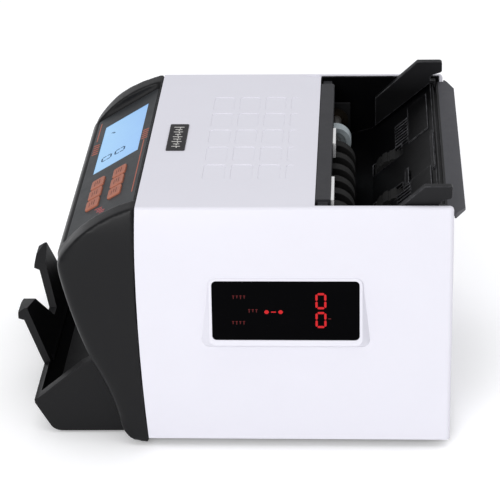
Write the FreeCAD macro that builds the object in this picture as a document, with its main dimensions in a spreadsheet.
import FreeCAD, Part
import math
import os

import Sketcher
from FreeCAD import Placement, Rotation, Vector

# A friction-feed banknote counter. +Z is up, -Y is the operator's side with the control panel and the
# note stacker, +X is the operator's right, with the side display. The origin is on the table, on the
# case's middle plane, half way between horns and rail. Lengths are in millimetres, angles in degrees.

DIMENSIONS = {
    # case
    "case_half": 125.0, "case_top": 178.0, "case_bottom": 6.5, "case_rear": 147.5, "wall": 2.5,
    "shoulder_z": 136.0, "shoulder_radius": 129.5, "shoulder_edge": 118.0, "top_round": 3.0,
    "seam_top_y": -61.0, "seam_bottom_y": -58.3, "seam_radius": 1600.0, "seam_gap": 0.3,
    "rear_wall_top": 169.3, "dip_start_y": 37.0, "dip": 1.5,
    "hopper_front_y": 56.7, "hopper_half": 114.5,
    # raised tiles on the top cover
    "tile_x": 25.0, "tile_y": 15.0, "tile_pitch_x": 30.0, "tile_pitch_y": 18.7, "tile_first_x": -59.0,
    "tile_first_y": -12.5, "tile_depth": 0.5, "tile_round": 3.0,
    # front shell
    "nose_y": -114.4, "nose_z": 142.0, "arch_radius": 92.0, "lip_y": -115.6, "lip_z": 136.0,
    "lip_radius": 7.0, "waist_y": -96.7, "waist_z": 65.0, "front_radius": 380.0,
    "shin_y": -79.7, "shin_z": 19.8, "shin_radius": 153.0, "toe_y": -68.5, "toe_z": 4.4,
    "toe_radius": 22.0, "sole_z": 3.0, "cheek_inner": 104.0,
    # control panel
    "panel_y": -112.0, "panel_z": 144.5, "panel_slope": 31.0, "panel_half": 102.0,
    "panel_low": 2.1, "panel_seat_low": 1.1,
    "panel_high": 55.8, "panel_thick": 2.5, "panel_round": 3.0, "ledge_half": 96.0,
    "ledge_low": 5.0, "ledge_high": 52.0,
    "lcd_left": -81.6, "lcd_right": 3.6, "lcd_low": 10.3, "lcd_high": 48.4, "lcd_gap": 0.15,
    "key_x": 14.2, "key_s": 10.6, "key_round": 1.8, "key_gap": 0.35, "key_proud": 1.3,
    "key_flange": 1.0, "key_flange_z": -3.9, "key_first_x": 28.3, "key_pitch_x": 16.8,
    "key_low_s": 18.5, "key_high_s": 36.7, "board_half": 92.0,
    "board_low": 7.0, "board_high": 50.0, "board_top": -5.2, "board_thick": 1.6,
    # side display
    "display_tilt": 8.42, "window_y": 37.2, "window_z": 107.9, "window_x": 129.07,
    "window_half_y": 48.9, "window_half_s": 20.6, "window_round": 3.0, "window_thick": 2.0,
    "window_gap": 0.1, "boss_rim": 1.9, "boss_face_low": -24.6, "boss_face_high": 22.3,
    "boss_face_round": 4.5, "boss_top": 131.5, "boss_top_left": -14.2, "boss_top_right": 88.6,
    "boss_bottom": 77.5, "boss_bottom_left": -21.8, "boss_bottom_right": 95.0, "boss_base_round": 6.0,
    # hopper
    "bar_front": 57.0, "bar_rear": 67.0, "bar_top": 176.5, "bar_low": 166.0, "bar_half": 101.0,
    "note_plate_y": 67.1, "note_plate_thick": 1.9, "note_plate_low": 164.0,
    "floor_half": 112.9, "floor_rear_y": 138.2, "floor_rear_z": 172.3, "floor_bend_y": 95.0,
    "floor_bend_z": 135.75, "floor_end_y": 79.0, "floor_end_z": 131.2, "floor_thick": 2.6,
    "liner_in": 113.2, "liner_out": 114.3, "liner_low": 130.5, "liner_top": 177.4,
    "liner_rear": 144.8,
    "rail_front": 138.5, "rail_top": 173.0, "rail_rear": 155.5, "rail_low": 150.0, "rail_leg": 144.6,
    "rail_half": 112.8, "rail_groove_front": 140.0, "rail_groove_rear": 142.2, "rail_groove_z": 169.8,
    "rail_end": 116.0, "rail_end_y": 147.9, "rail_cut_x": 103.5, "rail_cut_y": 149.0,
    "rail_under": 169.6, "rail_drop": 1.6,
    # side guides
    "guide_in": 107.9, "guide_thick": 5.0, "guide_front_y": 97.0, "guide_low_z": 139.0,
    "guide_shoulder_z": 162.0, "guide_top_y": 128.4, "guide_top_z": 191.0, "guide_tip_y": 146.7,
    "guide_tip_z": 184.0, "guide_throat_y": 138.0, "guide_throat_z": 179.6, "guide_foot_z": 176.2,
    "guide_clear": 0.4, "guide_rest_y": 137.5,
    # frames, rods and shafts
    "frame_in": 100.0, "frame_thick": 2.0, "shaft_radius": 4.0, "bush_clear": 0.05, "bush_radius": 7.0,
    "bush_flange": 9.0, "shaft_half": 104.0, "rod_radius": 3.0,
    "feed_y": 60.0, "feed_z": 112.2, "feed_radius": 20.0,
    "pickup_y": 112.55, "pickup_z": 133.3, "pickup_radius": 16.0,
    "separator_y": 68.0, "separator_z": 148.0, "disc_radius": 14.8, "idler_radius": 11.5,
    "transport_y": -6.0, "transport_z": 80.8, "transport_radius": 13.0,
    "stacker_y": -66.0, "stacker_z": 50.0, "impeller_radius": 26.0, "impeller_hub": 9.0,
    "impeller_x": 28.0, "impeller_width": 8.0,
    # motors, pulleys and belts
    "feed_motor_y": 92.0, "feed_motor_z": 62.0, "feed_motor_radius": 19.0, "feed_motor_length": 50.0,
    "stacker_motor_y": -20.0, "stacker_motor_z": 32.0, "stacker_motor_radius": 15.0,
    "stacker_motor_length": 43.0, "spindle_radius": 2.0, "spindle_hole": 6.0,
    "feed_pulley": 16.0, "feed_motor_pulley": 8.0, "stacker_pulley": 16.0, "stacker_motor_pulley": 7.0,
    "drive_pulley": 10.0, "pickup_pulley": 8.0, "transport_pulley": 7.0,
    "pulley_out": 114.0, "pulley_in": 106.0, "pickup_belt_in": 104.6, "pickup_belt_out": 109.4,
    "transport_belt_in": 110.6, "transport_belt_out": 115.4, "belt_gap": 0.3, "belt_thick": 1.2,
    # note path
    "path_front_y": -88.0, "path_rear_y": 36.0, "path_y": 41.5, "path_z": 104.0, "path_rise": 0.218,
    "path_half": 98.3, "path_gap": 2.5, "path_sheet": 1.5,
    # stacker
    "exit_half": 92.7, "exit_gap": 0.3, "tray_half": 108.0, "tray_wall": 8.5, "tray_low": 1.8,
    "tray_corner_y": -121.0, "tray_corner_radius": 9.0,
    "plate_half": 58.0, "plate_front": -155.5, "lip_low_z": 61.0, "notch_half": 6.0, "notch_z": 38.5,
    "horn_elbow_x": 27.0, "horn_elbow_z": 63.0, "horn_end_x": 52.5, "horn_end_z": 68.8,
    "horn_top_z": 69.6,
    # base
    "tray_base_half": 121.5, "tray_front_y": -56.0, "tray_rear_y": 144.0, "tray_base_thick": 3.0,
    "tray_rim": 2.0, "tray_rim_top": 16.0, "foot_radius": 10.0, "foot_x": 98.0, "foot_front_y": -35.0,
    "foot_rear_y": 125.0,
    # rear plate
    "rear_plate_half": 62.0, "rear_plate_low": 18.0, "rear_plate_high": 74.0, "rear_plate_thick": 2.2,
    "inlet_x": 34.0, "inlet_z": 46.0, "inlet_half_x": 13.8, "inlet_half_z": 9.8, "socket_half_x": 12.0,
    "socket_half_z": 8.0, "socket_depth": 16.0, "switch_x": -6.0, "switch_z": 46.0,
    "rocker_half_x": 5.1, "rocker_half_z": 8.2, "rocker_out": 2.0, "rocker_in": 6.0, "rocker_tilt": 10.0,
    "rocker_gap": 0.6, "rocker_pivot": 1.2,
    # screws through the rear wall
    "screw_x": 106.0, "screw_low_z": 24.0, "screw_high_z": 120.0, "screw_radius": 3.2, "screw_head": 1.5,
}


class Size:
    """A length that keeps its value together with the spreadsheet expression it comes from."""

    def __init__(self, value, text):
        self.value = value
        self.text = text

    def __add__(self, other):
        other = size(other)
        return Size(self.value + other.value, f"({self.text} + {other.text})")

    def __sub__(self, other):
        other = size(other)
        return Size(self.value - other.value, f"({self.text} - {other.text})")

    def __mul__(self, other):
        other = size(other)
        return Size(self.value * other.value, f"({self.text} * {other.text})")

    def __truediv__(self, other):
        other = size(other)
        return Size(self.value / other.value, f"({self.text} / {other.text})")

    def __neg__(self):
        return Size(-self.value, f"(0 - {self.text})")

    def __rsub__(self, other):
        return size(other) - self

    __radd__ = __add__
    __rmul__ = __mul__


def size(value):
    return value if isinstance(value, Size) else Size(float(value), f"({float(value)!r})")


class Sheet:
    """The driving dimensions, read as D.alias."""

    def __init__(self, doc):
        self.sheet = doc.addObject("Spreadsheet::Sheet", "Sizes")
        for row, (alias, value) in enumerate(DIMENSIONS.items(), start=1):
            self.sheet.set(f"A{row}", alias)
            self.sheet.set(f"B{row}", str(value))
            self.sheet.setAlias(f"B{row}", alias)

    def __getattr__(self, alias):
        return Size(DIMENSIONS[alias], "Sizes." + alias)


doc = FreeCAD.newDocument("BanknoteCounter")
D = Sheet(doc)
doc.recompute()


# ---------------------------------------------------------------- outlines and sketches

class Outline:
    """A closed outline of straight and round stretches."""

    def __init__(self, u, v):
        self.points = [(size(u), size(v))]
        self.arcs = []

    def line(self, u, v):
        self.points.append((size(u), size(v)))
        self.arcs.append(None)
        return self

    def arc(self, u, v, radius, turn):
        """An arc to (u, v). A turn of 1 runs anticlockwise, -1 clockwise."""
        self.points.append((size(u), size(v)))
        self.arcs.append((size(radius), turn))
        return self

    def close_arc(self, radius, turn):
        self.arcs.append((size(radius), turn))
        return self


class Circle:
    def __init__(self, u, v, radius):
        self.u = size(u)
        self.v = size(v)
        self.radius = size(radius)


def rectangle(u0, v0, u1, v1):
    return Outline(u0, v0).line(u1, v0).line(u1, v1).line(u0, v1)


def rounded(u0, v0, u1, v1, radius):
    u0, v0, u1, v1, radius = (size(value) for value in (u0, v0, u1, v1, radius))
    outline = Outline(u0 + radius, v0).line(u1 - radius, v0).arc(u1, v0 + radius, radius, 1)
    outline.line(u1, v1 - radius).arc(u1 - radius, v1, radius, 1)
    outline.line(u0 + radius, v1).arc(u0, v1 - radius, radius, 1)
    return outline.line(u0, v0 + radius).close_arc(radius, 1)


def centred(x, y, width, height, radius):
    return rounded(x - width / 2, y - height / 2, x + width / 2, y + height / 2, radius)


def polygon(*points):
    outline = Outline(*points[0])
    for point in points[1:]:
        outline.line(*point)
    return outline


def rounded_polygon(points, radius):
    """A convex outline, corners given anticlockwise, with the same round on every corner."""
    radius = size(radius)
    corners = [Vector(size(u).value, size(v).value, 0) for u, v in points]
    rounds = []
    for number, corner in enumerate(corners):
        arriving = (corner - corners[number - 1]).normalize()
        leaving = (corners[(number + 1) % len(corners)] - corner).normalize()
        setback = radius.value * math.tan(arriving.getAngle(leaving) / 2)
        rounds.append((corner - arriving * setback, corner + leaving * setback))
    outline = Outline(rounds[0][1].x, rounds[0][1].y)
    for start, end in rounds[1:]:
        outline.line(start.x, start.y).arc(end.x, end.y, radius, 1)
    return outline.line(rounds[0][0].x, rounds[0][0].y).close_arc(radius, 1)


def arc_geometry(start, end, radius, turn):
    """The short arc from start to end, and whether the sketcher stores it in that direction."""
    middle = (start + end) / 2
    chord = end - start
    left = Vector(-chord.y, chord.x, 0).normalize()
    drop = math.sqrt(max(radius ** 2 - (chord.Length / 2) ** 2, 0.0))
    centre = middle + left * (drop * turn)
    first, last = (start, end) if turn > 0 else (end, start)
    angle_first = math.atan2(first.y - centre.y, first.x - centre.x)
    angle_last = math.atan2(last.y - centre.y, last.x - centre.x)
    circle = Part.Circle(centre, Vector(0, 0, 1), radius)
    return Part.ArcOfCircle(circle, angle_first, angle_last)


def bind(target, path, value):
    if "Sizes." in value.text:
        target.setExpression(path, value.text)


def pins(geometry, point, u, v):
    """Constraints that tie a sketch point to the origin."""
    return [(Sketcher.Constraint("DistanceX", -1, 1, geometry, point, u.value), u),
            (Sketcher.Constraint("DistanceY", -1, 1, geometry, point, v.value), v)]


def draw_circle(sketch, circle):
    centre = Vector(circle.u.value, circle.v.value, 0)
    index = sketch.addGeometry(Part.Circle(centre, Vector(0, 0, 1), circle.radius.value), False)
    radius = Sketcher.Constraint("Radius", index, circle.radius.value)
    return pins(index, 3, circle.u, circle.v) + [(radius, circle.radius)]


def draw_outline(sketch, outline):
    arcs = outline.arcs + [None] * (len(outline.points) - len(outline.arcs))
    first_index = sketch.GeometryCount
    geometry = []
    ends = []
    for number, (u, v) in enumerate(outline.points):
        next_u, next_v = outline.points[(number + 1) % len(outline.points)]
        start = Vector(u.value, v.value, 0)
        end = Vector(next_u.value, next_v.value, 0)
        index = first_index + number
        if arcs[number] is None:
            geometry.append(Part.LineSegment(start, end))
            ends.append((index, 1, 2))
            continue
        radius, turn = arcs[number]
        geometry.append(arc_geometry(start, end, radius.value, turn))
        ends.append((index, 1, 2) if turn > 0 else (index, 2, 1))
    sketch.addGeometry(geometry, False)
    constraints = []
    for number, (index, start_point, end_point) in enumerate(ends):
        next_index, next_start, next_end = ends[(number + 1) % len(ends)]
        joined = Sketcher.Constraint("Coincident", index, end_point, next_index, next_start)
        constraints.append((joined, size(0)))
        constraints += pins(index, start_point, *outline.points[number])
        if arcs[number] is not None:
            radius = arcs[number][0]
            constraints.append((Sketcher.Constraint("Radius", index, radius.value), radius))
    return constraints


# ---------------------------------------------------------------- bodies and their features

FLAT = Placement()
NORMAL_SIGN = {"XY": 1, "XZ": -1, "YZ": 1}


def body(label):
    new = doc.addObject("PartDesign::Body", label)
    new.Label = label
    new.AllowCompound = True
    return new


def place(item, x=0.0, y=0.0, z=0.0, rotation=None):
    x, y, z = size(x), size(y), size(z)
    item.Placement = Placement(Vector(x.value, y.value, z.value), rotation or Rotation())
    bind(item, ".Placement.Base.x", x)
    bind(item, ".Placement.Base.y", y)
    bind(item, ".Placement.Base.z", z)
    return item


def origin_feature(item, role):
    for feature in item.Origin.OriginFeatures:
        if feature.Role == role:
            return feature
    raise ValueError(role)


def sketch_on(item, plane, outlines, level, frame=FLAT):
    """A sketch on one of the body's origin planes, moved by frame and then by level along its normal."""
    sketch = item.newObject("Sketcher::SketchObject", item.Label + "_outline")
    sketch.AttachmentSupport = [(origin_feature(item, plane + "_Plane"), "")]
    sketch.MapMode = "FlatFace"
    level = size(level)
    sketch.AttachmentOffset = frame.multiply(Placement(Vector(0, 0, level.value), Rotation()))
    if frame is FLAT:
        bind(sketch, ".AttachmentOffset.Base.z", level)
    constraints = []
    for outline in outlines if isinstance(outlines, list) else [outlines]:
        draw = draw_circle if isinstance(outline, Circle) else draw_outline
        constraints += draw(sketch, outline)
    indices = sketch.addConstraint([constraint for constraint, value in constraints])
    for index, (constraint, value) in zip(indices, constraints):
        bind(sketch, f"Constraints[{index}]", value)
    sketch.Visibility = False
    return sketch


def pad(item, plane, outlines, start, end, frame=FLAT):
    """Add material between two levels along the world axis normal to the plane."""
    start, end = size(start), size(end)
    level = start if NORMAL_SIGN[plane] > 0 else -end
    feature = item.newObject("PartDesign::Pad", item.Label + "_pad")
    feature.Profile = sketch_on(item, plane, outlines, level, frame)
    feature.Length = (end - start).value
    bind(feature, "Length", end - start)
    return feature


def pocket(item, plane, outlines, start, end, frame=FLAT):
    """Remove material between two levels along the world axis normal to the plane."""
    start, end = size(start), size(end)
    level = end if NORMAL_SIGN[plane] > 0 else -start
    feature = item.newObject("PartDesign::Pocket", item.Label + "_pocket")
    feature.Profile = sketch_on(item, plane, outlines, level, frame)
    feature.Length = (end - start).value
    bind(feature, "Length", end - start)
    return feature


def polar(item, originals, axis, count):
    pattern = item.newObject("PartDesign::PolarPattern", item.Label + "_pattern")
    pattern.Originals = originals
    pattern.Axis = (origin_feature(item, axis + "_Axis"), [""])
    pattern.Angle = 360
    pattern.Occurrences = count
    item.Tip = pattern
    return pattern


def grid(item, original, columns, rows):
    """Repeat a feature along X and Y: (count, pitch) for each direction."""
    pattern = item.newObject("PartDesign::MultiTransform", item.Label + "_grid")
    pattern.Originals = [original]
    steps = []
    for axis, (count, pitch) in (("X", columns), ("Y", rows)):
        step = item.newObject("PartDesign::LinearPattern", item.Label + "_step")
        step.Direction = (origin_feature(item, axis + "_Axis"), [""])
        step.Occurrences = count
        step.Length = ((count - 1) * pitch).value
        bind(step, "Length", (count - 1) * pitch)
        steps.append(step)
    pattern.Transformations = steps
    item.Tip = pattern
    return pattern


def round_edges(item, feature, radius, chosen):
    """Fillet the edges of a feature that a test picks by their middle point and length."""
    doc.recompute()
    names = []
    for number, edge in enumerate(feature.Shape.Edges, start=1):
        middle = edge.valueAt((edge.FirstParameter + edge.LastParameter) / 2)
        if chosen(middle, edge):
            names.append(f"Edge{number}")
    fillet = item.newObject("PartDesign::Fillet", item.Label + "_round")
    fillet.Base = (feature, names)
    radius = size(radius)
    fillet.Radius = radius.value
    bind(fillet, "Radius", radius)
    return fillet


# ---------------------------------------------------------------- outer case

def section(inset):
    """Half-round-shouldered cross-section of the case, inset all round by a wall."""
    inset = size(inset)
    half = D.case_half - inset
    radius = D.shoulder_radius - inset
    rise = D.case_top - inset - D.shoulder_z
    reach = math.sqrt(radius.value ** 2 - rise.value ** 2)
    edge = Size(reach, f"sqrt({radius.text}^2 - {rise.text}^2)") + D.case_half - D.shoulder_radius
    outline = Outline(-half, D.case_bottom - 5).line(half, D.case_bottom - 5).line(half, D.shoulder_z)
    outline.arc(edge, D.case_top - inset, radius, 1).line(-edge, D.case_top - inset)
    return outline.arc(-half, D.shoulder_z, radius, 1)


def front_of_seam():
    """Everything in front of the slightly bowed seam between the white and the black shell."""
    outline = Outline(-150.0, 0.0).line(D.seam_bottom_y, D.sole_z)
    outline.arc(D.seam_top_y, D.case_top, D.seam_radius, -1)
    return outline.line(D.seam_top_y, 190.0).line(-150.0, 190.0)


DISPLAY_FRAME = Placement(
    Vector(DIMENSIONS["window_y"], DIMENSIONS["window_z"], DIMENSIONS["window_x"]),
    Rotation(Vector(1, 0, 0), -DIMENSIONS["display_tilt"]),
)


def display_boss(shell):
    """Wedge on the right side that tips the display window up towards the operator."""
    base = rounded_polygon([
        (D.boss_bottom_left, D.boss_bottom), (D.boss_bottom_right, D.boss_bottom),
        (D.boss_top_right, D.boss_top), (D.boss_top_left, D.boss_top),
    ], D.boss_base_round)
    half_face = D.window_half_y + D.boss_rim
    face = rounded_polygon([
        (-half_face, D.boss_face_low), (half_face, D.boss_face_low),
        (half_face, D.boss_face_high), (-half_face, D.boss_face_high),
    ], D.boss_face_round)
    loft = shell.newObject("PartDesign::AdditiveLoft", "display_boss")
    loft.Profile = sketch_on(shell, "YZ", base, D.case_half - 1.5)
    loft.Sections = [sketch_on(shell, "YZ", face, 0.0, DISPLAY_FRAME)]
    loft.Ruled = True
    half_y = D.window_half_y + D.window_gap
    half_s = D.window_half_s + D.window_gap
    recess = rounded(-half_y, -half_s, half_y, half_s, D.window_round + D.window_gap)
    pocket(shell, "YZ", recess, -D.window_thick - 0.1, 4.0, DISPLAY_FRAME)
    light_well = rounded(-half_y + 6, -half_s + 6, half_y - 6, half_s - 6, 2.0)
    pocket(shell, "YZ", light_well, -12.0, 0.0, DISPLAY_FRAME)


def upper_shell():
    shell = body("upper_shell")
    pad(shell, "XZ", section(0), D.seam_top_y - 6, D.case_rear)
    pocket(shell, "YZ", rectangle(-150, 0, 200, D.case_bottom), -D.case_half - 1, D.case_half + 1)
    tip = pocket(shell, "YZ", front_of_seam(), -D.case_half - 1, D.case_half + 1)
    top_z = DIMENSIONS["case_top"]
    edge_x = DIMENSIONS["shoulder_edge"]
    rear = DIMENSIONS["case_rear"]
    round_edges(shell, tip, D.top_round, lambda p, edge: (
        (abs(p.z - top_z) < 0.1 and abs(abs(p.x) - edge_x) < 0.3)
        or (abs(p.y - rear) < 0.1 and p.z > 10)
    ))
    pocket(shell, "XZ", section(D.wall), D.seam_top_y - 7, D.case_rear - D.wall)
    display_boss(shell)
    hopper = rectangle(-D.hopper_half, D.hopper_front_y, D.hopper_half, D.case_rear + 1)
    pocket(shell, "XY", hopper, D.rear_wall_top, D.case_top + 1)
    dip = polygon((D.dip_start_y, D.case_top), (D.hopper_front_y + 1, D.case_top - D.dip),
                  (D.hopper_front_y + 1, D.case_top + 1), (D.dip_start_y, D.case_top + 1))
    pocket(shell, "YZ", dip, -D.hopper_half, D.hopper_half)
    tile = pocket(shell, "XY", tile_groove(), D.case_top - D.tile_depth, D.case_top + 0.1)
    grid(shell, tile, (5, D.tile_pitch_x), (4, D.tile_pitch_y))
    opening = rectangle(-D.rear_plate_half - 0.1, D.rear_plate_low - 0.1, D.rear_plate_half + 0.1,
                        D.rear_plate_high + 0.1)
    pocket(shell, "XZ", opening, D.case_rear - D.wall - 1, D.case_rear + 1)
    vents = [rectangle(-60 + 8 * step, 96, -56 + 8 * step, 128) for step in range(16)]
    pocket(shell, "XZ", vents, D.case_rear - D.wall - 1, D.case_rear + 1)
    sinks = [Circle(x, z, D.screw_radius + 0.3) for x, z in screw_spots()]
    pocket(shell, "XZ", sinks, D.case_rear - D.screw_head - 0.1, D.case_rear + 1)


def screw_spots():
    return [(x * side, z) for side in (-1, 1) for x, z in ((D.screw_x, D.screw_low_z),
                                                           (D.screw_x, D.screw_high_z))]


def tile_groove():
    """The first of the rounded tiles sunk into the top cover."""
    x, y = D.tile_first_x, D.tile_first_y
    return centred(x, y, D.tile_x, D.tile_y, D.tile_round)


def front_profile():
    """Side view of the black front shell: arched brow, nose, waisted front and rounded toe."""
    outline = Outline(D.seam_top_y - D.seam_gap, D.case_top)
    outline.arc(D.nose_y, D.nose_z, D.arch_radius, 1).arc(D.lip_y, D.lip_z, D.lip_radius, 1)
    outline.arc(D.waist_y, D.waist_z, D.front_radius, 1).arc(D.shin_y, D.shin_z, D.shin_radius, -1)
    outline.arc(D.toe_y, D.toe_z, D.toe_radius, 1).line(D.seam_bottom_y - D.seam_gap, D.sole_z)
    return outline.close_arc(D.seam_radius, -1)


PANEL_FRAME = Placement(
    Vector(0, DIMENSIONS["panel_y"], DIMENSIONS["panel_z"]),
    Rotation(Vector(1, 0, 0), DIMENSIONS["panel_slope"]),
)
SLOPE_TAN = math.tan(math.radians(DIMENSIONS["panel_slope"]))


def on_panel(y, below=0.0):
    """Height of the panel plane at a given y, lowered by a vertical distance."""
    tangent = Size(SLOPE_TAN, "tan(Sizes.panel_slope * 1 deg)")
    return D.panel_z + (y - D.panel_y) * tangent - below


def front_shell():
    shell = body("front_shell")
    pad(shell, "YZ", front_profile(), -D.case_half, D.case_half)
    corner = []
    for side in (1, -1):
        outline = Outline(D.case_half * side, D.shoulder_z)
        outline.arc(D.shoulder_edge * side, D.case_top, D.shoulder_radius, side)
        outline.line(D.shoulder_edge * side, D.case_top + 5).line((D.case_half + 5) * side, D.case_top + 5)
        corner.append(outline.line((D.case_half + 5) * side, D.shoulder_z))
    pocket(shell, "XZ", corner, D.nose_y - 5, D.seam_top_y + 5)
    # hollow behind the panel, narrower at the top where the shoulders turn in
    for reach, top in ((107.0, 0.0), (120.5, 9.0)):
        hollow = Outline(D.seam_top_y + 8, on_panel(D.seam_top_y + 8, 6.0 + top))
        hollow.line(-108.0, on_panel(size(-108.0), 6.0 + top)).line(D.waist_y + 4, D.waist_z)
        hollow.line(D.shin_y + 4, D.shin_z + 1).line(D.toe_y + 3, D.toe_z + 4)
        hollow.line(D.seam_bottom_y + 12, D.sole_z + 4)
        pocket(shell, "YZ", hollow, -reach, reach)
    recess = polygon((D.panel_y, D.panel_z), (size(-63.2), on_panel(size(-63.2))), (-62.6, 185.0),
                     (D.panel_y, 185.0))
    pocket(shell, "YZ", recess, -D.cheek_inner, D.cheek_inner)
    seat = rounded(-D.panel_half - 0.1, D.panel_seat_low, D.panel_half + 0.1, D.panel_high + 0.1,
                   D.panel_round + 0.1)
    pocket(shell, "XY", seat, -D.panel_thick, 1.0, PANEL_FRAME)
    ledge = rounded(-D.ledge_half, D.ledge_low, D.ledge_half, D.ledge_high, 2.0)
    pocket(shell, "XY", ledge, -9.0, 0.0, PANEL_FRAME)
    mouth = rectangle(-D.exit_half - D.exit_gap, 22.2, D.exit_half + D.exit_gap, 86.0)
    pocket(shell, "XZ", mouth, -125.0, -60.0)


# ---------------------------------------------------------------- control panel

def key_centres():
    for name, s in (("low", D.key_low_s), ("high", D.key_high_s)):
        for number in range(3):
            yield f"key_{name}_{number + 1}", D.key_first_x + D.key_pitch_x * number, s


def panel_rotation():
    return Rotation(Vector(1, 0, 0), DIMENSIONS["panel_slope"])


def control_panel():
    panel = place(body("control_panel"), 0, D.panel_y, D.panel_z, panel_rotation())
    outline = rounded(-D.panel_half, D.panel_low, D.panel_half, D.panel_high, D.panel_round)
    pad(panel, "XY", outline, -D.panel_thick, 0.0)
    openings = [rectangle(D.lcd_left - D.lcd_gap, D.lcd_low - D.lcd_gap, D.lcd_right + D.lcd_gap,
                          D.lcd_high + D.lcd_gap)]
    for name, x, s in key_centres():
        openings.append(centred(x, s, D.key_x + D.key_gap * 2, D.key_s + D.key_gap * 2,
                                D.key_round + D.key_gap))
    pocket(panel, "XY", openings, -D.panel_thick - 1, 1.0)

    window = place(body("lcd_window"), 0, D.panel_y, D.panel_z, panel_rotation())
    pad(window, "XY", rectangle(D.lcd_left, D.lcd_low, D.lcd_right, D.lcd_high), -D.panel_thick, -0.3)

    board = place(body("keypad_board"), 0, D.panel_y, D.panel_z, panel_rotation())
    bottom = D.board_top - D.board_thick
    pad(board, "XY", rectangle(-D.board_half, D.board_low, D.board_half, D.board_high), bottom,
        D.board_top)
    pad(board, "XY", rectangle(D.lcd_left - 3, D.lcd_low - 2, D.lcd_right + 3, D.lcd_high + 1),
        D.board_top - 0.1, -D.panel_thick - 0.1)
    holes = [Circle(x, s, 1.6) for x in (-88, 88) for s in (11, 46)]
    pocket(board, "XY", holes, bottom - 1, D.board_top + 1)

    for name, x, s in key_centres():
        slope = math.radians(DIMENSIONS["panel_slope"])
        along = Size(math.cos(slope), "cos(Sizes.panel_slope * 1 deg)")
        up = Size(math.sin(slope), "sin(Sizes.panel_slope * 1 deg)")
        key = place(body(name), x, D.panel_y + s * along, D.panel_z + s * up, panel_rotation())
        zero = size(0.0)
        cap = pad(key, "XY", centred(zero, zero, D.key_x, D.key_s, D.key_round), D.key_flange_z,
                  D.key_proud)
        proud = DIMENSIONS["key_proud"]
        round_edges(key, cap, 0.7, lambda p, edge: abs(p.z - proud) < 0.01)
        flange = centred(zero, zero, D.key_x + 2, D.key_s + 2, D.key_round + 1)
        pad(key, "XY", flange, D.key_flange_z, D.key_flange_z + D.key_flange)


# ---------------------------------------------------------------- side display and name plate

def side_display():
    tilt = math.radians(DIMENSIONS["display_tilt"])
    matrix = FreeCAD.Matrix(0, -math.sin(tilt), math.cos(tilt), 0,
                            1, 0, 0, 0,
                            0, math.cos(tilt), math.sin(tilt), 0)
    facing = Placement(matrix).Rotation
    window = place(body("display_window"), D.window_x, D.window_y, D.window_z, facing)
    outline = rounded(-D.window_half_y, -D.window_half_s, D.window_half_y, D.window_half_s,
                      D.window_round)
    pad(window, "XY", outline, -D.window_thick, -0.2)

    board = place(body("display_board"), D.window_x, D.window_y, D.window_z, facing)
    pad(board, "XY", rectangle(-40, -13.5, 40, 13.5), -9.6, -8.0)
    pad(board, "XY", rectangle(14, -9, 30, 9), -8.1, -2.2)

    plate = body("name_plate")
    pad(plate, "XY", rounded(-20.0, -48.4, 25.5, -35.2, 1.0), D.case_top, D.case_top + 0.8)


# ---------------------------------------------------------------- hopper

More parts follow.
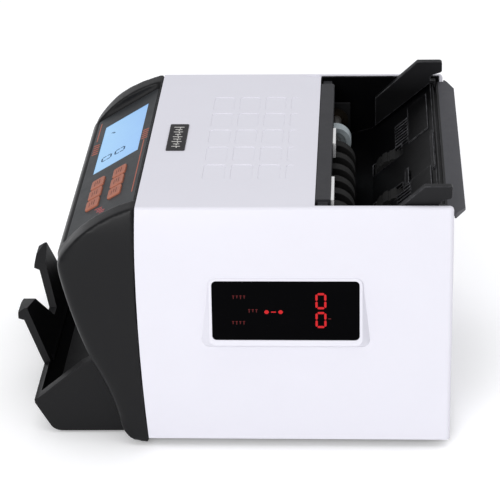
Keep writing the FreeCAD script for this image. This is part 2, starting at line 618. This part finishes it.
def hopper():
    bar = body("hopper_bar")
    profile = polygon((D.bar_front, D.bar_low), (D.bar_rear, D.bar_low), (D.bar_rear, D.bar_top - 1),
                      (D.bar_rear - 1, D.bar_top), (D.bar_front + 0.5, D.bar_top),
                      (D.bar_front, D.bar_top - 0.5))
    pad(bar, "YZ", profile, -D.bar_half, D.bar_half)
    for side in (-1, 1):
        start, end = sorted((D.bar_half * side, (D.liner_in - 0.3) * side), key=lambda s: s.value)
        tab = rectangle(D.bar_front + 1.5, D.bar_low + 2, D.bar_rear - 2, D.bar_top - 2.5)
        pad(bar, "YZ", tab, start, end)

    plate = body("note_plate")
    tabs = [rectangle(start, D.note_plate_low, end, D.bar_top - 1.5) for start, end in ((-21, 6), (62, 99))]
    pad(plate, "XZ", tabs, D.note_plate_y, D.note_plate_y + D.note_plate_thick)

    floor = body("hopper_floor")
    strip = polygon((D.floor_rear_y, D.floor_rear_z), (D.floor_bend_y, D.floor_bend_z),
                    (D.floor_end_y, D.floor_end_z), (D.floor_end_y, D.floor_end_z - D.floor_thick),
                    (D.floor_bend_y, D.floor_bend_z - D.floor_thick - 0.5),
                    (D.floor_rear_y, D.floor_rear_z - D.floor_thick - 0.5))
    pad(floor, "YZ", strip, -D.floor_half, D.floor_half)
    for side in (-1, 1):
        low = polygon((121, 157.5), (121, 158.9), (134.5, 170.4), (134.5, 169.0))
        start, end = sorted((size(33.0 * side), size(96.0 * side)), key=lambda s: s.value)
        pad(floor, "YZ", low, start, end)
    rib = polygon((111.5, 148.9), (111.5, 152.3), (120.5, 159.9), (120.5, 156.6))
    for number in range(8):
        for side in (-1, 1):
            start, end = sorted((size((38.0 + 5.2 * number) * side), size((39.8 + 5.2 * number) * side)),
                                key=lambda s: s.value)
            pad(floor, "YZ", rib, start, end)
    for ridge, start, end in (
        (polygon((117.4, 154.0), (117.4, 157.2), (119.8, 159.2), (119.8, 156.0)), 12.0, 36.0),
        (polygon((135.4, 169.4), (135.4, 171.6), (137.2, 173.0), (137.2, 171.0)), -22.0, 40.0),
    ):
        pad(floor, "YZ", ridge, start, end)
    wheel_slots = [rectangle(x - 9.5, 95.6, x + 9.5, 116) for x in (-33, 33)]
    belt_notch = rectangle(D.pickup_belt_in - 0.4, D.floor_end_y - 1, D.floor_half + 1, 106.0)
    pocket(floor, "XY", wheel_slots + [belt_notch], 100.0, D.case_top)

    for side, name in ((-1, "hopper_side_left"), (1, "hopper_side_right")):
        liner = body(name)
        wall = sorted((D.liner_in * side, D.liner_out * side), key=lambda s: s.value)
        front = D.hopper_front_y + 0.4
        outline = polygon((front, D.liner_low), (D.floor_end_y, D.liner_low - 0.5),
                          (D.floor_bend_y, D.floor_bend_z - 1.5),
                          (D.floor_rear_y, D.floor_rear_z - 1.5), (D.liner_rear, D.floor_rear_z - 1.5),
                          (D.liner_rear, D.liner_top), (front, D.liner_top))
        pad(liner, "YZ", outline, *wall)

    rail = body("rear_rail")
    profile = polygon((D.rail_front, D.rail_low), (D.rail_leg, D.rail_low),
                      (D.rail_leg, D.rail_under), (D.rail_rear, D.rail_under),
                      (D.rail_rear, D.rail_top - D.rail_drop), (D.rail_rear - 5.0, D.rail_top),
                      (D.rail_front + 1.2, D.rail_top), (D.rail_front, D.rail_top - 1.2))
    pad(rail, "YZ", profile, -D.rail_half, D.rail_half)
    overhang = polygon((D.rail_end_y, D.rail_under), (D.rail_rear, D.rail_under),
                       (D.rail_rear, D.rail_top - D.rail_drop), (D.rail_rear - 5.0, D.rail_top),
                       (D.rail_end_y, D.rail_top))
    pad(rail, "YZ", overhang, -D.rail_end, D.rail_end)
    corners = [polygon((D.rail_cut_x * side, D.rail_rear), (D.rail_end * side, D.rail_cut_y),
                       ((D.rail_end + 5) * side, D.rail_cut_y), ((D.rail_end + 5) * side, D.rail_rear + 3),
                       (D.rail_cut_x * side, D.rail_rear + 3)) for side in (-1, 1)]
    pocket(rail, "XY", corners, D.rail_low, D.rail_top + 1)
    groove = rectangle(D.rail_groove_front, D.rail_groove_z, D.rail_groove_rear, D.rail_top + 1)
    pocket(rail, "YZ", groove, -D.rail_half - 1, D.rail_half + 1)


def side_guides():
    low = D.rail_top + D.guide_clear
    tongue_front = D.rail_groove_front + 0.3
    tongue_rear = D.rail_groove_rear - 0.3
    outline = Outline(D.guide_front_y, D.guide_low_z).line(D.guide_rest_y, low).line(tongue_front, low)
    outline.line(tongue_front, D.rail_groove_z + 0.4).line(tongue_rear, D.rail_groove_z + 0.4)
    outline.line(tongue_rear, D.guide_foot_z).line(D.guide_throat_y, D.guide_foot_z)
    outline.line(D.guide_throat_y, D.guide_throat_z - 1.4)
    outline.line(D.guide_throat_y + 2, D.guide_throat_z + 0.8)
    outline.line(D.guide_tip_y - 2, D.guide_tip_z - 2.2).arc(D.guide_tip_y, D.guide_tip_z, 2.2, 1)
    outline.line(D.guide_tip_y, D.guide_top_z - 2).arc(D.guide_tip_y - 2, D.guide_top_z, 2.0, 1)
    outline.line(D.guide_top_y, D.guide_top_z).line(D.guide_front_y, D.guide_shoulder_z)
    for side, name in ((-1, "guide_left"), (1, "guide_right")):
        guide = body(name)
        span = sorted((D.guide_in * side, (D.guide_in + D.guide_thick) * side), key=lambda s: s.value)
        pad(guide, "YZ", outline, *span)


# ---------------------------------------------------------------- frames, shafts and bushes

SHAFTS = {"feed": (D.feed_y, D.feed_z), "pickup": (D.pickup_y, D.pickup_z),
          "separator": (D.separator_y, D.separator_z), "transport": (D.transport_y, D.transport_z),
          "stacker": (D.stacker_y, D.stacker_z)}
MOTORS = {"feed": (D.feed_motor_y, D.feed_motor_z), "stacker": (D.stacker_motor_y, D.stacker_motor_z)}
RODS = ((20.0, 146.0), (-56.0, 100.0), (124.0, 96.0), (34.0, 30.0))


def side_frames():
    low = D.case_bottom + D.tray_base_thick + 0.5
    rim = D.tray_rim_top + 1
    rim_y = D.tray_front_y + D.tray_rim + 1.5
    outline = polygon((rim_y, low), (132, low), (134, 158), (95, 125), (78.6, 121), (78.6, 161),
                      (44, 161), (10, 155), (-62, 116), (-80, 76), (-80, 48), (-68, rim), (rim_y, rim))
    for side, name in ((-1, "side_frame_left"), (1, "side_frame_right")):
        frame = body(name)
        span = sorted((D.frame_in * side, (D.frame_in + D.frame_thick) * side), key=lambda s: s.value)
        pad(frame, "YZ", outline, *span)
        holes = [Circle(y, z, D.bush_radius) for y, z in SHAFTS.values()]
        if side < 0:
            holes += [Circle(y, z, D.spindle_hole) for y, z in MOTORS.values()]
        windows = [rounded(60, 20, 84, 38, 4), rounded(-50, 18, -44, 70, 2.5), rounded(6, 110, 34, 132, 4)]
        pocket(frame, "YZ", holes + windows, *span)
        foot = sorted(((D.frame_in - 12) * side, (D.frame_in + 0.5) * side), key=lambda s: s.value)
        pad(frame, "YZ", rectangle(-40, 10, 20, 11.5), *foot)

    rods = body("tie_rods")
    pad(rods, "YZ", [Circle(y, z, D.rod_radius) for y, z in RODS], -D.frame_in, D.frame_in)

    bushes = body("bearings")
    for side in (-1, 1):
        for y, z in SHAFTS.values():
            length = sorted(((D.frame_in - 1.5) * side, (D.frame_in + D.frame_thick) * side),
                            key=lambda s: s.value)
            flange = sorted(((D.frame_in - 1.5) * side, D.frame_in * side), key=lambda s: s.value)
            pad(bushes, "YZ", Circle(y, z, D.bush_radius), *length)
            pad(bushes, "YZ", Circle(y, z, D.bush_flange), *flange)
            pocket(bushes, "YZ", Circle(y, z, D.shaft_radius + D.bush_clear), *length)


def rotor(label, name, features):
    """A turned piece about the body's own X axis: (radius, from x, to x) steps on one shaft line."""
    y, z = SHAFTS[name]
    piece = place(body(label), 0, y, z)
    for radius, start, end in features:
        pad(piece, "YZ", Circle(0, 0, radius), start, end)
    return piece


def bore(piece, radius):
    pocket(piece, "YZ", Circle(0, 0, radius), -150.0, 150.0)


def shafts():
    rotor("feed_shaft", "feed", [(D.shaft_radius, -115.0, 116.5)])
    rollers = rotor("feed_rollers", "feed", [(D.feed_radius, x - 9, x + 9) for x in (-33, 0, 33)])
    bore(rollers, D.shaft_radius)
    groove = pocket(rollers, "YZ", rectangle(D.feed_radius - 0.6, -0.8, D.feed_radius + 1, 0.8),
                    -42.5, 42.5)
    polar(rollers, [groove], "X", 24)

    pulleys = rotor("feed_pulleys", "feed", [
        (D.feed_pulley, -D.pulley_out, -D.pulley_in),
        (D.drive_pulley, D.pickup_belt_in, D.pickup_belt_out),
        (D.drive_pulley, D.transport_belt_in, D.transport_belt_out),
    ])
    bore(pulleys, D.shaft_radius)

    rotor("pickup_shaft", "pickup", [
        (D.shaft_radius, -D.shaft_half, D.pickup_belt_out),
        (D.pickup_pulley, D.pickup_belt_in, D.pickup_belt_out),
    ])
    wheels = rotor("pickup_rollers", "pickup", [(D.pickup_radius, x - 8, x + 8) for x in (-33, 33)])
    bore(wheels, D.shaft_radius)
    groove = pocket(wheels, "YZ", rectangle(D.pickup_radius - 0.8, -1, D.pickup_radius + 1, 1), -42, 42)
    polar(wheels, [groove], "X", 16)

    rotor("transport_shaft", "transport", [
        (D.shaft_radius, -D.shaft_half, D.transport_belt_out),
        (D.transport_pulley, D.transport_belt_in, D.transport_belt_out),
    ])
    wheels = rotor("transport_rollers", "transport",
                   [(D.transport_radius, x - 6, x + 6) for x in (-45, 45)])
    bore(wheels, D.shaft_radius)

    rotor("separator_shaft", "separator", [(D.shaft_radius, -D.shaft_half, D.shaft_half)])
    discs = rotor("separator_discs", "separator",
                  [(D.disc_radius, x - 4.5, x + 4.5) for x in (-23, -3, 17, 37, 57, 77)])
    bore(discs, D.shaft_radius)
    idler = rotor("separator_roller", "separator", [(D.idler_radius, -67.0, -57.0)])
    bore(idler, D.shaft_radius)
    pocket(idler, "YZ", Circle(0, 0, D.idler_radius - 4), -60.0, -56.0)

    rotor("stacker_shaft", "stacker", [
        (D.shaft_radius, -115.0, D.shaft_half),
        (D.stacker_pulley, -D.pulley_out, -D.pulley_in),
    ])
    stacker_wheels()


def stacker_wheels():
    """Two impellers with curved blades that catch each note and lay it in the tray."""
    half = D.impeller_width / 2
    spans = [(D.impeller_x * side - half, D.impeller_x * side + half) for side in (-1, 1)]
    wheels = rotor("stacker_wheels", "stacker", [(D.impeller_hub, *span) for span in spans])
    tip_y = -D.impeller_radius * math.cos(math.radians(40))
    tip_z = -D.impeller_radius * math.sin(math.radians(40))
    blade = Outline(-D.impeller_hub + 1.2, 0.8).arc(tip_y, tip_z, 24.0, 1)
    blade.line(tip_y + 1.0, tip_z - 0.8).arc(-D.impeller_hub + 1.2, -0.8, 23.0, -1)
    blades = [pad(wheels, "YZ", blade, *span) for span in spans]
    polar(wheels, blades, "X", 10)
    bore(wheels, D.shaft_radius)


# ---------------------------------------------------------------- motors and belts

def motors():
    for name, radius, length, pulley in (
        ("feed", D.feed_motor_radius, D.feed_motor_length, D.feed_motor_pulley),
        ("stacker", D.stacker_motor_radius, D.stacker_motor_length, D.stacker_motor_pulley),
    ):
        y, z = MOTORS[name]
        face = -D.frame_in + 1.5
        motor = place(body(name + "_motor"), 0, y, z)
        pad(motor, "YZ", Circle(0, 0, radius), face, face + length)
        pad(motor, "YZ", Circle(0, 0, radius - 6), -D.frame_in, face)
        pad(motor, "YZ", Circle(0, 0, radius - 9), face + length, face + length + 3)
        pocket(motor, "YZ", Circle(0, 0, D.spindle_radius + 1), -D.frame_in, face + 10)
        turning = place(body(name + "_motor_pulley"), 0, y, z)
        pad(turning, "YZ", Circle(0, 0, pulley), -D.pulley_out, -D.pulley_in)
        pad(turning, "YZ", Circle(0, 0, D.spindle_radius), -D.pulley_in, face + 9)


def belt(label, first, first_radius, second, second_radius, start, end):
    """A flat belt round two pulleys of different radius, on the outer common tangents."""
    def loop(extra):
        y0, z0 = first
        y1, z1 = second
        r0, r1 = first_radius.value + extra, second_radius.value + extra
        dy, dz = y1.value - y0.value, z1.value - z0.value
        span = math.hypot(dy, dz)
        heading = math.atan2(dz, dy)
        swing = math.acos((r0 - r1) / span)
        points = []
        for centre, radius, angle in (
            ((y0, z0), r0, heading + swing), ((y0, z0), r0, heading - swing),
            ((y1, z1), r1, heading - swing), ((y1, z1), r1, heading + swing),
        ):
            points.append((centre[0] + radius * math.cos(angle), centre[1] + radius * math.sin(angle)))
        far0 = (y0 - r0 * math.cos(heading), z0 - r0 * math.sin(heading))
        far1 = (y1 + r1 * math.cos(heading), z1 + r1 * math.sin(heading))
        outline = Outline(*points[0]).arc(*far0, r0, 1).arc(*points[1], r0, 1).line(*points[2])
        return outline.arc(*far1, r1, 1).arc(*points[3], r1, 1)

    ring = body(label)
    gap = DIMENSIONS["belt_gap"]
    pad(ring, "YZ", loop(gap + DIMENSIONS["belt_thick"]), start, end)
    pocket(ring, "YZ", loop(gap), start, end)


def belts():
    left = (-D.pulley_out + 1, -D.pulley_in - 1)
    belt("feed_belt", SHAFTS["feed"], D.feed_pulley, MOTORS["feed"], D.feed_motor_pulley, *left)
    belt("stacker_belt", SHAFTS["stacker"], D.stacker_pulley, MOTORS["stacker"],
         D.stacker_motor_pulley, *left)
    belt("pickup_belt", SHAFTS["feed"], D.drive_pulley, SHAFTS["pickup"], D.pickup_pulley,
         D.pickup_belt_in + 0.5, D.pickup_belt_out - 0.5)
    belt("transport_belt", SHAFTS["feed"], D.drive_pulley, SHAFTS["transport"], D.transport_pulley,
         D.transport_belt_in + 0.5, D.transport_belt_out - 0.5)


# ---------------------------------------------------------------- note path and stacker

def path_height(y, offset):
    return D.path_z + (size(y) - D.path_y) * D.path_rise + offset


def note_path():
    lower_front = -38.0
    for name, front, low, high in (
        ("lower_guide", lower_front, -D.path_gap - D.path_sheet, -D.path_gap),
        ("upper_guide", D.path_front_y, D.path_gap, D.path_gap + D.path_sheet),
    ):
        guide = body(name)
        strip = polygon((front, path_height(front, low)), (D.path_rear_y, path_height(D.path_rear_y, low)),
                        (D.path_rear_y, path_height(D.path_rear_y, high)), (front, path_height(front, high)))
        pad(guide, "YZ", strip, -D.path_half, D.path_half)
        if name == "lower_guide":
            slots = [rectangle(x - 8, -21, x + 8, 9) for x in (-45, 45)]
            pocket(guide, "XY", slots, 60.0, 140.0)


def stacker():
    tray = body("stacker_tray")
    outline = Outline(-77.5, D.tray_low + 0.4).line(D.tray_corner_y, D.tray_low)
    outline.arc(D.tray_corner_y - 8.1, D.tray_low + 5.0, D.tray_corner_radius, -1).line(-138.6, 24.0)
    outline.line(-138.8, 27.0).line(-136.0, 27.9).line(-104.8, 54.2).line(-96.4, 58.6)
    outline.line(-91.8, 54.0).line(-84.2, 34.5).line(-80.6, 19.8).line(-78.4, 11.0)
    pad(tray, "YZ", outline, -D.tray_half, D.tray_half)
    pit = polygon((-127.5, 13.2), (-79.0, 20.5), (-79.0, 80.0), (-134.6, 80.0), (-134.6, 25.0))
    inner = D.tray_half - D.tray_wall
    pocket(tray, "YZ", pit, -inner, inner)
    under = polygon((-122.0, 6.5), (-79.5, 6.5), (-81.0, 16.0), (-121.0, 10.2))
    pocket(tray, "YZ", under, -inner + 2, inner - 2)
    pocket(tray, "XY", rectangle(-inner + 2, -121.0, inner - 2, -82.0), 0.0, 7.0)
    seat = rectangle(-D.plate_half - 0.2, -140.0, D.plate_half + 0.2, -134.0)
    pocket(tray, "XY", seat, 27.0, 32.0)

    plate = body("stacker_plate")
    bent = polygon((-138.6, 27.1), (-151.4, D.lip_low_z - 1.2), (D.plate_front, D.lip_low_z),
                   (D.plate_front, D.horn_top_z - 4), (-149.4, D.horn_top_z), (-134.4, 30.0),
                   (-134.4, 27.1))
    pad(plate, "YZ", bent, -D.plate_half, D.plate_half)
    tongue = polygon((-134.5, 30.2), (-134.5, 25.6), (-132.8, 25.6), (-132.8, 28.0))
    pad(plate, "YZ", tongue, -D.plate_half + 8, D.plate_half - 8)
    cuts = [polygon((-D.notch_half, D.notch_z), (D.notch_half, D.notch_z),
                    (D.horn_elbow_x, D.horn_elbow_z), (D.horn_end_x, D.horn_end_z),
                    (D.horn_end_x, 90.0), (-D.horn_end_x, 90.0), (-D.horn_end_x, D.horn_end_z),
                    (-D.horn_elbow_x, D.horn_elbow_z))]
    for side in (-1, 1):
        outside = (D.plate_half + 5) * side
        cuts.append(polygon((outside, 30.0), (D.plate_half * side, 30.0),
                            ((D.horn_end_x - 0.1) * side, D.horn_end_z),
                            ((D.horn_end_x - 0.1) * side, 90.0), (outside, 90.0)))
    pocket(plate, "XZ", cuts, -165.0, -130.0)

    grille = body("exit_plate")
    strip = polygon((-103.0, 85.6), (-94.7, 64.0), (-83.0, 38.0), (-77.4, 22.6), (-74.6, 22.6),
                    (-80.2, 39.0), (-91.7, 64.5), (-99.8, 85.6))
    pad(grille, "YZ", strip, -D.exit_half, D.exit_half)
    openings = [rectangle(-88.0, 67.0, 88.0, 77.5)]
    openings += [rectangle(x - 6, 25.0, x + 6, 68.0) for x in (-28, 28)]
    pocket(grille, "XZ", openings, -115.0, -60.0)


# ---------------------------------------------------------------- base, electronics and rear plate

def base():
    tray = body("base_tray")
    top = D.case_bottom + D.tray_base_thick
    outer = rectangle(-D.tray_base_half, D.tray_front_y, D.tray_base_half, D.tray_rear_y)
    pad(tray, "XY", outer, D.case_bottom, D.tray_rim_top)
    inner = rectangle(-D.tray_base_half + D.tray_rim, D.tray_front_y + D.tray_rim,
                      D.tray_base_half - D.tray_rim, D.tray_rear_y - D.tray_rim)
    pocket(tray, "XY", inner, top, D.tray_rim_top + 1)
    vents = [rounded(x, 70, x + 5, 120, 2.4) for x in range(20, 90, 10)]
    pocket(tray, "XY", vents, D.case_bottom - 1, top + 1)

    feet = body("feet")
    spots = [(x, y) for x in (-D.foot_x, D.foot_x) for y in (D.foot_front_y, D.foot_rear_y)]
    pad(feet, "XY", [Circle(x, y, D.foot_radius) for x, y in spots], 0.0, D.case_bottom)

    board = body("main_board")
    pad(board, "XY", rectangle(-80, -46, 60, 42), 14.0, 15.6)
    parts = [(-46, 6, -26, 26, 8.0), (-40, -30, -10, 0, 3.0), (0, -38, 14, -24, 11.0),
             (20, -38, 34, -24, 11.0), (-74, 0, -66, 36, 9.0), (42, -30, 54, 20, 7.0)]
    for x0, y0, x1, y1, height in parts:
        pad(board, "XY", rectangle(x0, y0, x1, y1), 15.5, 15.6 + height)
    posts = [Circle(x, y, 3.0) for x in (-74, 54) for y in (-41, 38)]
    pad(board, "XY", posts, top, 14.1)

    supply = body("power_supply")
    pad(supply, "XY", rectangle(10, 60, 94, 128), top, top + 1.6)
    pad(supply, "XY", rectangle(48, 66, 88, 110), top + 1.5, 50.0)
    pad(supply, "XY", rectangle(42, 80, 94, 96), top + 1.5, 44.0)
    pad(supply, "XY", [Circle(24, 76, 8.0), Circle(24, 98, 8.0)], top + 1.5, 36.0)

    screws = body("cover_screws")
    face = D.case_rear - 0.1
    pad(screws, "XZ", [Circle(x, z, D.screw_radius) for x, z in screw_spots()], face - D.screw_head, face)
    slots = [rectangle(x - 2, z - 0.5, x + 2, z + 0.5) for x, z in screw_spots()]
    pocket(screws, "XZ", slots, face - 0.8, face + 1)


def rear_plate():
    plate = body("rear_plate")
    rear = D.case_rear - 0.3
    outline = rectangle(-D.rear_plate_half, D.rear_plate_low, D.rear_plate_half, D.rear_plate_high)
    pad(plate, "XZ", outline, rear - D.rear_plate_thick, rear)
    inlet_hole = rectangle(D.inlet_x - D.inlet_half_x, D.inlet_z - D.inlet_half_z,
                           D.inlet_x + D.inlet_half_x, D.inlet_z + D.inlet_half_z)
    half_x = D.rocker_half_x + D.rocker_gap
    half_z = D.rocker_half_z + D.rocker_gap + 0.6
    switch_hole = rectangle(D.switch_x - half_x, D.switch_z - half_z, D.switch_x + half_x,
                            D.switch_z + half_z)
    pocket(plate, "XZ", [inlet_hole, switch_hole], rear - D.rear_plate_thick - 1, rear + 1)

    inlet = body("power_inlet")
    outline = rounded(D.inlet_x - 16, D.inlet_z - 12, D.inlet_x + 16, D.inlet_z + 12, 2.5)
    pad(inlet, "XZ", outline, rear, rear + 2)
    block = rectangle(D.inlet_x - D.inlet_half_x + 0.1, D.inlet_z - D.inlet_half_z + 0.1,
                      D.inlet_x + D.inlet_half_x - 0.1, D.inlet_z + D.inlet_half_z - 0.1)
    pad(inlet, "XZ", block, rear - 20, rear + 0.1)
    socket = rounded(D.inlet_x - D.socket_half_x, D.inlet_z - D.socket_half_z,
                     D.inlet_x + D.socket_half_x, D.inlet_z + D.socket_half_z, 3.0)
    pocket(inlet, "XZ", socket, rear + 2 - D.socket_depth, rear + 3)
    pins = [rectangle(D.inlet_x + x - 1, D.inlet_z + z - 2, D.inlet_x + x + 1, D.inlet_z + z + 2)
            for x, z in ((-7, -2), (0, 2), (7, -2))]
    pad(inlet, "XZ", pins, rear + 2 - D.socket_depth - 0.5, rear - 4)

    tilt = Rotation(Vector(1, 0, 0), DIMENSIONS["rocker_tilt"])
    rocker = place(body("power_switch"), D.switch_x, rear - 1, D.switch_z, tilt)
    profile = polygon((-D.rocker_in, -D.rocker_half_z + 2.5), (D.rocker_out + 1, -D.rocker_half_z),
                      (D.rocker_out - 0.6, 0), (D.rocker_out + 1, D.rocker_half_z),
                      (-D.rocker_in, D.rocker_half_z - 2.5))
    pad(rocker, "YZ", profile, -D.rocker_half_x, D.rocker_half_x)
    pad(rocker, "YZ", Circle(0, 0, D.rocker_pivot), -D.rocker_half_x - D.rocker_gap + 0.2,
        D.rocker_half_x + D.rocker_gap - 0.2)


# ---------------------------------------------------------------- build, check and write

def check_document():
    doc.recompute()
    for item in doc.Objects:
        if "Invalid" in item.State or "Error" in item.State:
            raise RuntimeError(f"{item.Label} failed: {item.State}")
        if item.TypeId == "PartDesign::Pocket":
            before = item.BaseFeature.Shape.Volume
            if item.Shape.Volume > before - 0.01:
                raise RuntimeError(f"{item.Label} ({item.Name}) removes nothing")


def write_parts():
    os.makedirs("parts", exist_ok=True)
    for item in doc.Objects:
        if item.TypeId != "PartDesign::Body":
            continue
        if item.Shape.isNull() or not item.Shape.isValid():
            raise RuntimeError(f"{item.Label} has no valid shape")
        item.Shape.exportStep(f"parts/{item.Label}.step")


upper_shell()
front_shell()
control_panel()
side_display()
hopper()
side_guides()
side_frames()
shafts()
motors()
belts()
note_path()
stacker()
base()
rear_plate()
check_document()
write_parts()
